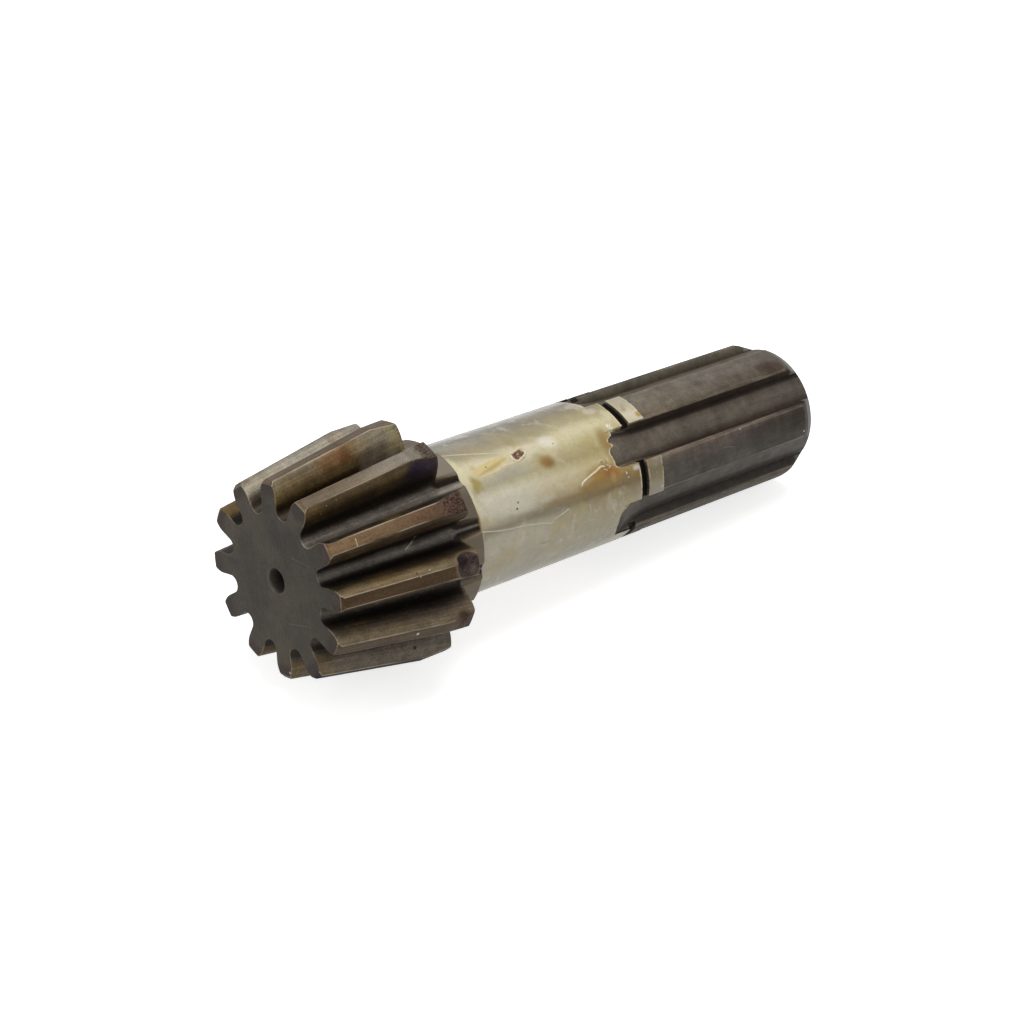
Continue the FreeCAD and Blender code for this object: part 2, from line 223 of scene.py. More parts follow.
class Finish(Nodes):
    # one material, which knows a point by its station, turn and radius on the shaft
    inputs = {"colour": "Base Color", "roughness": "Roughness", "metallic": "Metallic", "normal": "Normal",
              "specular": "Specular IOR Level", "tint": "Specular Tint", "coat": "Coat Weight",
              "coatRoughness": "Coat Roughness", "glow": "Emission Color",
              "glowStrength": "Emission Strength"}

    def __init__(self, name):
        self.material = bpy.data.materials.new(name)
        self.material.use_nodes = True
        super().__init__(self.material.node_tree)
        self.tree.nodes.clear()
        surface = self.node("ShaderNodeBsdfPrincipled")
        self.shader = surface.socket.node
        self.feed(self.tree.nodes.new("ShaderNodeOutputMaterial"), {"Surface": surface})
        self.place = self.node("ShaderNodeTexCoord", out="Object")
        fromToe = self.vector("SUBTRACT", self.place, toeCentre)
        along, across, above = (self.vector("DOT_PRODUCT", fromToe, axis, "Value") * 1000
                                for axis in (ahead, sideways, upward))
        self.station = along
        turn = above.maths("ARCTAN2", across) * math.degrees(1)
        self.turn = turn + turn.maths("LESS_THAN", 0.0) * 360
        self.radius = (across * across + above * above).maths("SQRT")
        self.level = self.radius
        self.inShaft = self.node("ShaderNodeCombineXYZ", None, {"X": along, "Y": across, "Z": above})
        self.unrolled = self.node("ShaderNodeCombineXYZ", None, {"X": along, "Y": self.turn * degreeLength})

    def set(self, **values):
        self.feed(self.shader, {self.inputs[name]: value for name, value in values.items()})

    def vector(self, operation, first, second=(0, 0, 0), out=0):
        return self.node("ShaderNodeVectorMath", {"operation": operation}, {0: first, 1: second}, out)

    def mark(self, name):
        return self.node("ShaderNodeAttribute", {"attribute_name": name}, out="Fac")

    def mix(self, share, first, second, blend="MIX"):
        sides = [paint(*side) if isinstance(side, tuple) else side for side in (first, second)]
        return self.node("ShaderNodeMix", {"data_type": "RGBA", "blend_type": blend},
                         {0: share, 6: sides[0], 7: sides[1]}, out=2)

    def lay(self, share, shade):
        # a share of another colour over what is there
        self.colour = self.mix(share, self.colour, shade)

    def stain(self, share, pattern):
        # the pattern's dark and light worked into what is there
        self.colour = self.mix(share, self.colour, pattern, "OVERLAY")

    def ramp(self, place, stops):
        return self.node("ShaderNodeValToRGB", {"stops": stops}, {0: place})

    def turnRamp(self, rows, column=1, turn=None):
        # colours round the shaft, from rows of a turn and its colours
        return self.ramp((turn or self.turn) / 360, [(row[0] / 360, row[column]) for row in rows])

    def fade(self, value, low, high):
        # 0 at low, 1 at high
        return self.node("ShaderNodeMapRange", {"interpolation_type": "SMOOTHSTEP"},
                         {"Value": value, "From Min": low, "From Max": high})

    def band(self, value, middle, half, soft):
        return self.fade(abs(value - middle), half + soft, half)

    def grain(self, scale, detail=3.0, rough=0.6, seed=0.0, stretch=None):
        # a stretch along the shaft and one across it makes lines of the pattern
        where = self.place
        if stretch:
            along, across = (share * 0.001 for share in stretch)
            where = self.node("ShaderNodeCombineXYZ", None, {
                "X": self.station * along, "Y": self.turn * (0.3 * across), "Z": self.level * across})
        return self.node("ShaderNodeTexNoise", {"noise_dimensions": "4D"}, {
            "Vector": where, "W": seed, "Scale": scale, "Detail": detail, "Roughness": rough})

    def within(self, where, middle, sizes, lean=0.0, soft=0.3, ragged=0.0, scale=900.0):
        here = self.node("ShaderNodeMapping", {"vector_type": "TEXTURE"}, {
            "Vector": where, "Location": middle, "Rotation": (0, 0, math.radians(lean)),
            "Scale": [size / 2 for size in sizes]})
        reach = self.vector("LENGTH", here, out="Value")
        if ragged:
            reach = reach + (self.grain(scale, 3, 0.6, middle[0]) - 0.5) * ragged
        return self.fade(reach, 1 + soft, 1 - soft)

    def spot(self, station, turn, length, width, radius=journalRadius, soft=0.25, lean=0.0, ragged=0.0,
             scale=900.0):
        # an oval on the skin: full length along the shaft and width round it, leaning by an angle
        middle = (station, turn * degreeLength, 0)
        sizes = (length, width * journalRadius / radius, 2)
        return self.within(self.unrolled, middle, sizes, lean, soft, ragged, scale)

    def ball(self, centre, size, soft=0.3, ragged=0.0, shape=(1, 1, 1)):
        # everything within a round or stretched ball about a point of the shaft: station, turn, radius
        middle = polar(centre[0], centre[2], centre[1]).tolist()
        return self.within(self.inShaft, middle, [size * part for part in shape], 0, soft, ragged, 500.0)

    def stroke(self, start, end, width, soft=0.5):
        # a straight line between two points of the shaft
        first, last = (polar(point[0], point[2], point[1]) for point in (start, end))
        away = self.vector("SUBTRACT", self.inShaft, first.tolist())
        heading = ((last - first) / np.sum((last - first) ** 2)).tolist()
        share = self.node("ShaderNodeClamp", None,
                          {"Value": self.vector("DOT_PRODUCT", away, heading, "Value")})
        nearest = self.node("ShaderNodeVectorMath", {"operation": "SCALE"},
                            {0: (last - first).tolist(), "Scale": share})
        reach = self.vector("LENGTH", self.vector("SUBTRACT", away, nearest), out="Value") / (width / 2)
        return self.fade(reach, 1 + soft, 1 - soft)

    def touches(self, marks):
        # soft marks: station, turn, length, width, lean, softness, raggedness, strength, colour
        for station, turn, length, width, lean, soft, ragged, strength, shade in marks:
            self.lay(self.spot(station, turn, length, width, journalRadius, soft, lean, ragged) * strength,
                     shade)

    def bump(self, height, depth):
        return self.node("ShaderNodeBump", None, {"Height": height, "Distance": depth, "Strength": 1.0})


# Teeth: every line of a tooth space meets the axis at the cone point in front of the toe face

teeth = {
    "count": 12, "cone": 133.0, "tip": 22.3, "depth": 7.4, "widest": 3.3, "spaceWidth": 5.0,
    "flank": 4.8, "gullet": 1.95, "edge": 0.2, "toeEdge": 0.15, "samples": 24,
    # turned blank: station, radius
    "profile": [(0, 21.6), (0.62, 22.33), (0.67, 22.38), (0.73, 22.41), (0.85, 22.44), (27.1, 26.85),
                (27.44, 26.9), (33.75, 26.9), (33.92, 26.86), (34.0, 26.76), (34.06, 26.62), (35.5, 20.88),
                (35.56, 20.68), (35.66, 20.6), (40.85, 20.6), (41.0, 20.56), (41.3, 20.3), (41.4, 20.12)],
    # more stations, between those of the profile
    "between": [0.15, 0.3, 1.4, *np.arange(2.5, 27, 1.25), 28, 29, 30, 31, 32, 33, 33.5,
                *np.arange(34.18, 35.45, 0.12), 36, 36.8, 37.6, 38.4, 39.2, 40, 40.5, 41.15, 41.36],
}

# Journal and spline: lands stand between parallel walls, and the spaces run out in the cutter's arc

spline = {
    "count": 6, "firstLand": 42.5, "halfLand": 4.35, "edge": 0.55, "floor": 14.85, "full": 101.8,
    "cutter": 36.0, "journal": 17.465, "landRadius": 17.35,
    # over the lands: station, radius
    "profile": [(41.4, 17.9), (41.5, 17.62), (41.7, 17.5), (41.95, 17.465), (92.95, 17.465), (93.1, 17.34),
                (93.11, 16.45), (95.39, 16.45), (95.4, 17.34), (95.55, 17.465), (100.3, 17.465),
                (100.4, 17.35), (150.2, 17.35), (150.4, 17.33), (150.6, 17.25), (155.15, 14.93),
                (155.25, 14.86)],
    "between": [*np.arange(44, 87, 3.0), 88, 88.4, 88.8, 89.4, 90, 90.8, 91.8, 94.2, 96.5, 97.5, 98.5, 99.5,
                101.8, *np.arange(104, 150, 4.0), 151.5, 152.6, 153.8],
}

# Steel of the teeth: oily and heat tinted, with painted light and shade. Colours run from the gullet (0) up
# the flank to the tip (1).

teethLook = {
    # painted light and shade: ramps chosen by turn, each flank lighter or darker as it faces the lamps
    "shade": [
        (0.0, (98, 92, 85)), (0.09, (90, 84, 77)), (0.15, (54, 47, 41)), (0.2, (34, 28, 24)),
        (0.3, (26, 21, 18)), (0.42, (28, 23, 18)), (0.55, (44, 35, 25)), (0.72, (64, 51, 34)),
        (0.85, (74, 60, 40)), (1.0, (80, 67, 48))],
    # painted light and shade of the lower teeth
    "lowerShading": [
        (0.0, (80, 74, 67)), (0.2, (56, 50, 43)), (0.36, (64, 57, 50)), (0.46, (98, 88, 78)),
        (0.62, (102, 94, 84)), (1.0, (88, 80, 70))],
    # flanks with their own painted light and shade: middle turn, half their turn, softness, colours
    "flanks": [
        (50, 13, 1, [(0.36, (60, 54, 46)), (0.5, (104, 97, 86)), (0.66, (158, 151, 135)),
            (0.8, (144, 137, 123)), (1.0, (118, 113, 104))]),
        (81, 17, 1, [(0.0, (70, 64, 57)), (0.25, (34, 26, 20)), (0.36, (54, 43, 27)), (0.46, (116, 98, 64)),
            (0.58, (142, 122, 88)), (0.7, (140, 123, 91)), (0.85, (130, 117, 92)), (1.0, (112, 103, 86))]),
        (126, 6, 0.8, [(0.0, (104, 98, 90)), (0.2, (120, 112, 102)), (0.6, (120, 110, 100)),
            (0.74, (78, 68, 60)), (0.87, (34, 27, 20)), (1.0, (30, 23, 16))]),
        (186, 6.5, 0.8, [(0.0, (94, 88, 81)), (0.1, (74, 68, 62)), (0.2, (44, 38, 33)), (0.35, (28, 24, 20)),
            (0.5, (54, 47, 40)), (0.65, (102, 92, 80)), (0.8, (108, 95, 77)), (1.0, (112, 99, 79))])],
    # painted shade and light on the tips of two flanks: middle turn, half their turn, colour
    "tips": [(144, 5, (42, 32, 22)), (157, 6, (112, 97, 74))],
    # heat tints: station, turn, length, width, radius, softness, raggedness and its scale, where, strength,
    # colour
    "tints": [
        (16.2, 81.6, 8.5, 2.6, 21.4, 0.6, 0.7, 900, "upper", 0.75, (138, 98, 62)),
        (19.4, 81.6, 3.4, 2.2, 21.8, 0.5, 0.7, 900, "upper", 0.7, (108, 66, 42)),
        (12, 83.5, 24, 3.0, 20, 0.7, 0.7, 900, "all", 0.35, (58, 40, 24)),
        (28, 79.5, 13, 5, 24, 0.35, 0.4, 200, "heel", 0.8, (126, 118, 104)),
        (32.5, 79, 4, 4, 25, 0.7, 0.0, 900, "all", 0.6, (146, 137, 98))],
    "blued": ((30.6, 111.3, 24.6), (40, 30, 42)), "gold": (112, 92, 52), "grit": (170, 158, 136),
    # turn of a tooth, colour of its tip land: painted light and shade as each land faces the lamps
    "lands": [
        (15, (84, 77, 68)), (45, (80, 70, 56)), (75, (96, 82, 69)), (105, (90, 79, 64)), (128, (118, 96, 72)),
        (142, (108, 86, 62)), (158, (68, 52, 34)), (172, (68, 53, 38)), (195, (76, 65, 53)),
        (225, (32, 29, 25)), (285, (76, 68, 58)), (345, (80, 73, 64))],
    # worn ends of tip lands: turn, stations between which the wear comes, strength, colour
    "landEnds": [(135, 12, 24, 0.6, (80, 58, 46)), (105, 10, 27, 0.5, (140, 134, 124))],
    # granular heels: turn, station, dark colour, light colour
    "pitted": [
        (105, 29.6, (42, 31, 28), (122, 106, 92)), (135, 26.8, (32, 19, 17), (120, 94, 80)),
        (195, 30.0, (50, 38, 33), (112, 98, 88)), (285, 29.4, (56, 44, 38), (110, 92, 78)),
        (15, 30.2, (56, 46, 40), (112, 98, 86))],
    # round mark at one heel: its middle, then centre, size, softness, raggedness, strength and colour of its
    # details
    "mark": (31.0, 163.9, 26.7), "markDark": (27, 18, 17), "markLight": (80, 65, 60),
    "markDetails": [((29.4, 161.0, 26.6), 2.9, 0.4, 0.5, 0.9, (22, 14, 13)),
                    ((32.2, 166.2, 26.9), 2.0, 0.5, 0.8, 0.3, (112, 98, 92))],
    # the edge colour is a painted highlight, along the tip lands' edges and the toe face's edge
    "markRim": (112, 97, 82), "edge": (160, 148, 130),
    # the light collar colour is painted light, laid on the collar's upper side round turn 103
    "collar": (112, 102, 88), "collarDark": (88, 79, 67), "collarPaintedLight": (146, 136, 122),
    "face": (46, 41, 34), "faceLight": (60, 53, 43), "faceDark": (34, 29, 24), "faceTips": (42, 26, 24),
    "faceRim": (40, 28, 19),
    # place (station, turn, radius), size, colour
    "flecks": [
        ((0, 249.8, 20.6), 0.5, (170, 164, 152)), ((19.4, 194.6, 25.5), 0.65, (190, 184, 172)),
        ((24.6, 218.5, 24.2), 0.8, (34, 28, 25)), ((0, 79.6, 4.2), 0.8, (40, 34, 30)),
        ((0, 92, 17.6), 0.7, (48, 42, 38)), ((0, 302, 9.6), 0.5, (44, 38, 34)),
        ((5.4, 110.3, 22.1), 0.36, (146, 126, 84)), ((4.1, 111.9, 20.7), 0.34, (136, 116, 78)),
        ((21.5, 160.7, 25.3), 0.4, (150, 140, 126)), ((7.9, 109.9, 22.8), 0.3, (140, 120, 80)),
        ((0, 105, 19.5), 3.0, (44, 34, 33)), ((0, 136.6, 20.3), 2.4, (50, 40, 38)),
        ((0, 163.7, 20.1), 2.6, (56, 42, 36)), ((31.0, 191.9, 26.8), 3.4, (64, 45, 38)),
        ((18.8, 162.3, 25.4), 0.36, (150, 140, 126)), ((18.4, 160.6, 24.7), 0.5, (48, 34, 24))],
    # ends of a thin scratch, width, colour
    "strokes": [
        ((22.3, 150.3, 17.4), (23.8, 147.1, 17.8), 0.28, (186, 178, 162)),
        ((23.8, 147.1, 17.8), (24.5, 143.7, 19.1), 0.28, (196, 188, 172)),
        ((23.2, 150.6, 17.5), (24.5, 146.1, 18.0), 0.2, (140, 132, 118)),
        ((6.6, 134.0, 23.4), (6.4, 137.9, 23.4), 0.26, (178, 152, 112)),
        ((0, 205, 12.5), (0, 236, 9.5), 0.12, (86, 80, 72)), ((0, 178, 14), (0, 199, 16), 0.12, (62, 56, 50)),
        ((0, 118, 9), (0, 140, 14), 0.12, (84, 78, 70)), ((0, 20, 12), (0, 44, 16.5), 0.12, (62, 57, 51))],
}


def toothSteel():
    look = teethLook
    steel = Finish("tooth_steel")
    station, turn, radius, fade, band = steel.station, steel.turn, steel.radius, steel.fade, steel.band
    rise = steel.mark("toothRise")
    # lines of the grain run to the cone point, as the teeth do
    steel.level = radius * teeth["cone"] / (station + teeth["cone"])
    cloud = steel.grain(60, 3, 0.6, 2.0)
    patch = steel.grain(150, 3, 0.6, 3.0)
    streak = steel.grain(800, 3, 0.65, 4.0, stretch=(0.09, 1.0))
    lines = steel.grain(800, 3, 0.7, 5.0, stretch=(0.075, 3.6))
    fine = steel.grain(2600, 4, 0.7, 6.0)
    mottle = steel.grain(420, 4, 0.65, 7.0)
    pits = steel.grain(2400, 5, 0.75, 11.0)
    climb = rise + (streak - 0.5) * 0.12 + (patch - 0.5) * 0.10
    # flank colours: painted light and shade, chosen by turn
    steel.colour = steel.ramp(climb, look["shade"])
    steel.lay(band(turn, 232, 28, 5), steel.ramp(climb, look["lowerShading"]))
    for middle, half, soft, stops in look["flanks"]:
        steel.lay(band(turn, middle, half, soft), steel.ramp(climb, stops))
    for middle, half, shade in look["tips"]:
        steel.lay(fade(climb, 0.68, 0.9) * band(turn, middle, half, 1) * 0.6, shade)
    # painted shade in the gullets of the lower teeth, turned away from the lamps
    steel.lay(fade(turn, 238, 262) * fade(rise, 0.72, 0.5) * 0.7, (26, 22, 19))
    parts = {"upper": fade(rise, 0.5, 0.72), "heel": fade(station, 21.5, 24), "all": 1.0}
    for middle, around, length, width, reach, soft, ragged, scale, part, strength, shade in look["tints"]:
        here = steel.spot(middle, around, length, width, reach, soft, 0, ragged, scale)
        steel.lay(here * parts[part] * strength, shade)
    centre, shade = look["blued"]
    steel.lay(steel.ball(centre, 6.0, 0.35, 0.4, (1.5, 1, 1)), shade)
    steel.lay(fade(cloud, 0.48, 0.70) * band(rise, 0.75, 0.2, 0.12) * 0.5, look["gold"])
    # brushed lines, mottle and light grit
    steel.stain(0.36, streak)
    for share, pattern in ((0.16, lines), (0.18, mottle), (0.22, fine)):
        steel.stain(share, fade(pattern, 0.34, 0.66))
    steel.lay(fade(fine, 0.60, 0.72) * fade(patch, 0.42, 0.62) * 0.38, look["grit"])
    # tip lands, with painted light and shade by turn, and painted highlights along their edges
    flanks, steel.colour = steel.colour, steel.turnRamp(look["lands"])
    steel.stain(0.7, streak)
    for middle, start, end, strength, shade in look["landEnds"]:
        steel.lay(fade(station, start, end) * band(turn, middle, 10, 1) * strength, shade)
    steel.stain(0.3, fade(fine, 0.3, 0.7))
    steel.lay(fade(patch, 0.52, 0.70) * 0.45, (66, 52, 40))
    land = fade(rise, 1.03, 1.09)
    steel.colour = steel.mix(land, flanks, steel.colour)
    steel.lay(band(rise, 1.03, 0.022, 0.018) * fade(streak, 0.36, 0.56) * 0.7, look["edge"])
    # granular pitted ends of some lands
    rough = 0
    for middle, start, low, high in look["pitted"]:
        begins = station + (steel.grain(300, 2, 0.5, middle) - 0.5) * 5
        here = fade(begins, start, start + 1.6) * band(turn, middle, 7.5, 1.0)
        here = here * fade(rise, 0.96, 1.03) * fade(station, 34.8, 34.2)
        steel.lay(here * 0.85, steel.mix(fade(pits * 0.75 + patch * 0.25, 0.43, 0.59), low, high))
        rough = rough + here
    # dark round mark at the heel of one tooth
    mark = steel.ball(look["mark"], 6.0, 0.08, 0.25)
    steel.lay(steel.ball(look["mark"], 7.3, 0.12, 0.3) * 0.5, look["markRim"])
    steel.lay(mark, steel.mix(fade(pits, 0.38, 0.66), look["markDark"], look["markLight"]))
    for centre, size, soft, ragged, strength, shade in look["markDetails"]:
        steel.lay(steel.ball(centre, size, soft, ragged) * mark * strength, shade)
    # collar behind the teeth, with painted light on its upper side
    collar = steel.mix(streak, look["collarDark"], look["collar"])
    collar = steel.mix(band(turn, 103, 14, 14) * 0.45, collar, look["collarPaintedLight"])
    steel.lay(fade(station, 35.2, 35.6) * fade(radius, 19.9, 20.3), collar)
    # toe face, and a painted highlight along its edge
    toe = fade(station, 0.035, 0.015)
    dressed, steel.colour = steel.colour, steel.mix(fade(cloud, 0.35, 0.65), look["face"], look["faceLight"])
    steel.lay(fade(fine, 0.58, 0.70) * 0.6, look["faceDark"])
    outer = fade(radius, 18.6, 19.9)
    for tooth in range(15, 375, 30):
        steel.lay(steel.spot(0, tooth, 9, 4.4, 21.5, 0.5, ragged=0.6) * outer * 0.75, look["faceTips"])
    steel.lay(fade(radius, 18.0, 20.0) * band(turn, 150, 62, 10) * 0.75, look["faceRim"])
    steel.stain(0.35, fade(patch, 0.3, 0.7))
    steel.colour = steel.mix(toe, dressed, steel.colour)
    steel.lay(band(station, 0.09, 0.05, 0.03) * fade(patch, 0.42, 0.56) * 0.34, look["edge"])
    # single flecks and scratches
    for centre, size, shade in look["flecks"]:
        steel.lay(steel.ball(centre, size, 0.5, 0.4) * 0.9, shade)
    for start, end, width, shade in look["strokes"]:
        steel.lay(steel.stroke(start, end, width) * 0.85, shade)
    lowest = land * band(turn, 225, 8, 1) * fade(station, 0.1, 0.4)
    steel.set(colour=steel.colour, metallic=toe * -0.3 + 0.4 - lowest * 0.3,
              roughness=fade(fine, 0.2, 0.9) * 0.16 + patch * 0.16 + 0.3 + rough * 0.25 + lowest * 0.3,
              normal=steel.bump(fine * 0.6 + streak * 0.6 + patch * 0.5 + pits * rough * 4.0, 0.00011),
              specular=0.2, tint=(0.4, 0.4, 0.38, 1))
    return steel


splineLook = {
    # turn, colour near the wax, colour near the end: on the lands, then on the floors between them; painted
    # light and shade, with painted shadow below a land's wall
    "lands": [
        (30, (80, 74, 65), (74, 68, 60)), (50, (76, 70, 61), (68, 62, 54)),
        (88, (108, 101, 90), (106, 100, 92)), (102, (112, 104, 92), (100, 93, 84)),
        (110, (110, 101, 88), (88, 79, 69)), (117, (98, 88, 75), (80, 71, 61)),
        (148, (116, 102, 88), (72, 64, 57)), (154, (95, 86, 79), (64, 57, 52)),
        (166, (84, 79, 73), (72, 67, 62)), (175, (80, 75, 68), (80, 76, 71)),
        (200, (80, 74, 66), (80, 74, 66)), (330, (84, 77, 68), (84, 77, 68))],
    "floors": [
        (20, (74, 68, 60), (74, 68, 60)), (60, (66, 58, 48), (66, 58, 48)), (73, (84, 77, 66), (94, 86, 76)),
        (84, (58, 50, 41), (60, 52, 43)), (119, (36, 29, 24), (38, 32, 26)),
        (122.6, (44, 36, 29), (46, 40, 33)), (124.6, (84, 76, 67), (78, 71, 63)),
        (130, (99, 91, 81), (88, 82, 74)), (140, (95, 88, 78), (86, 79, 71)),
        (146, (66, 56, 47), (62, 53, 45)), (178, (94, 88, 82), (98, 94, 90)),
        (188, (88, 83, 77), (96, 92, 88)), (194, (76, 71, 65), (88, 84, 79)),
        (199, (52, 47, 43), (58, 53, 49)), (206, (52, 47, 43), (56, 51, 47)),
        (300, (74, 68, 60), (74, 68, 60))],
    # soft marks: station, turn, length, width, lean, softness, raggedness, strength, colour
    "patches": [
        (146.2, 110, 8.5, 3.6, 14, 0.4, 0.7, 0.75, (66, 52, 43)),
        (128, 99, 10, 3.4, 6, 0.7, 1.2, 0.4, (110, 104, 102)),
        (120, 104, 8, 2.6, -8, 0.7, 1.2, 0.35, (92, 84, 80)),
        (112, 97, 7, 2.0, 4, 0.7, 1.2, 0.35, (84, 77, 68)),
        (130, 160, 14, 3.4, -4, 0.7, 1.2, 0.45, (56, 50, 48)),
        (118, 166, 8, 2.6, 6, 0.7, 1.2, 0.4, (60, 55, 52)), (146, 158, 12, 5, 0, 0.7, 1.0, 0.4, (48, 42, 37)),
        (108, 130, 10, 3, 0, 0.7, 1.2, 0.35, (98, 92, 84)), (134, 131, 10, 3, 0, 0.7, 1.2, 0.3, (94, 86, 74)),
        (122.6, 160.6, 3.0, 0.16, 12, 0.5, 0.0, 0.6, (128, 122, 114)),
        (124.4, 162.2, 2.2, 0.14, 14, 0.5, 0.0, 0.5, (120, 114, 106)),
        (149.8, 170.5, 0.4, 0.4, 0, 0.4, 0.0, 0.9, (210, 206, 198)),
        (127.5, 150.2, 0.5, 0.4, 0, 0.4, 0.0, 0.7, (170, 162, 150))],
    # walls: painted light and shade, darker towards the foot; edge: painted highlight; groove: painted shade,
    # near black
    "wallPaintedShade": (46, 38, 31), "wall": ((68, 60, 49), (98, 92, 80)), "lowerWallShading": ((58, 54, 49), (72, 68, 63)),
    "edge": (132, 120, 106), "chamfer": (124, 121, 115), "groove": (16, 13, 12),
}


def splineSteel():
    look = splineLook
    steel = Finish("spline_steel")
    station, turn, radius, fade, band = steel.station, steel.turn, steel.radius, steel.fade, steel.band
    fine = steel.grain(2600, 4, 0.7, 21.0)
    cloud = steel.grain(90, 4, 0.6, 23.0)
    blotch = steel.grain(320, 4, 0.65, 24.0)
    # no streaks on the flat end face
    streak = (steel.grain(700, 3, 0.65, 25.0, stretch=(0.12, 2.0)) - 0.5) * fade(station, 155.27, 155.2) + 0.5
    fromLand = abs((turn + (60 - spline["firstLand"] + 30)).maths("FLOORED_MODULO", 60) - 30)
    # lands and floors coloured by turn: painted light and shade
    surfaces = [steel.mix(fade(station, 104, 150), *(steel.turnRamp(look[name], column) for column in (1, 2)))
                for name in ("lands", "floors")]
    floor = fade(radius, 15.9, 15.2).maths("MAXIMUM", fade(fromLand, 16.9, 17.5))
    steel.colour = steel.mix(floor, *surfaces)
    # walls of the lands: painted light and shade by which way each faces, darker towards the foot; and a
    # painted highlight line along their upper edges
    height = fade(radius, 15.0, 16.9)
    wallShading = steel.mix(fade(turn, 85, 70), look["wallPaintedShade"], steel.mix(height, *look["wall"]))
    wallShading = steel.mix(fade(turn, 190, 200), wallShading, steel.mix(height, *look["lowerWallShading"]))
    wall = fade(radius, 15.0, 15.25) * fade(radius, 16.95, 16.7) * fade(fromLand, 17.6, 17.0)
    steel.lay(wall * fade(station, 88, 101), wallShading)
    edge = band(radius, 17.08, 0.18, 0.08) * fade(fromLand, 16.0, 15.6) * fade(streak, 0.4, 0.58)
    steel.lay(edge * fade(station, 150.5, 150.1) * 0.45, look["edge"])
    steel.touches(look["patches"])
    for share, pattern in ((0.16, cloud), (0.2, blotch), (0.10, streak), (0.16, fine)):
        steel.stain(share, fade(pattern, 0.3, 0.7))
    steel.lay(fade(station, 151.9, 153.0) * fade(radius, 14.9, 15.2) * 0.85, look["chamfer"])
    # painted shade: the groove near black
    steel.lay(band(station, 94.25, 1.12, 0.05) * fade(radius, 16.1, 16.3), look["groove"])
    steel.set(colour=steel.colour, metallic=0.15, roughness=fine * 0.15 + 0.5,
              normal=steel.bump(fine + streak * 0.5, 0.00009), specular=0.15, tint=(0.3, 0.3, 0.29, 1))
    return steel


